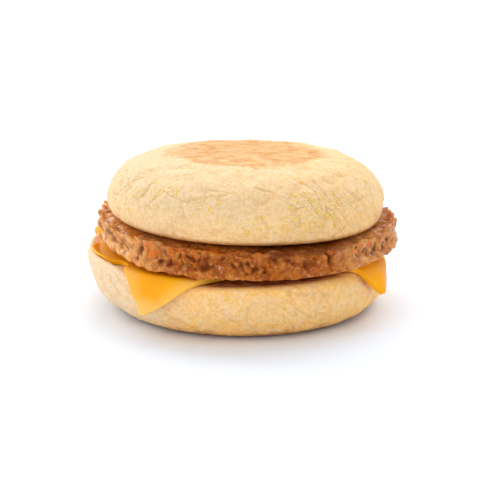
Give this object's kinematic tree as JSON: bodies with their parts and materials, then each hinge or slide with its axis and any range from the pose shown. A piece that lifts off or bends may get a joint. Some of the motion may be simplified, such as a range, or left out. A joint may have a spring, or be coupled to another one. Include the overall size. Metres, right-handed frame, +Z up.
{
  "type": "breakfast sandwich",
  "caption": "Breakfast sandwich of a split muffin with a craggy sausage patty and a slice of cheese whose corners hang over the lower half.",
  "frame": {"origin": "middle of the flat griddled base that the sandwich stands on", "axes": "+Z up through the layers; -Y towards the shown side, where one corner of the cheese hangs to the left and one to the right"},
  "size_m": [0.1047, 0.1012, 0.0511],
  "materials": {
    "heel": "matte, pale baked dough",
    "cheese_slice": "soft and slightly glossy",
    "sausage_patty": "browned and greasy, half glossy",
    "crown": "matte, pale baked dough"
  },
  "bodies": {
    "root": {"heel": "heel", "cheese_slice": "cheese_slice", "sausage_patty": "sausage_patty", "crown": "crown"}
  },
  "joints": []
}
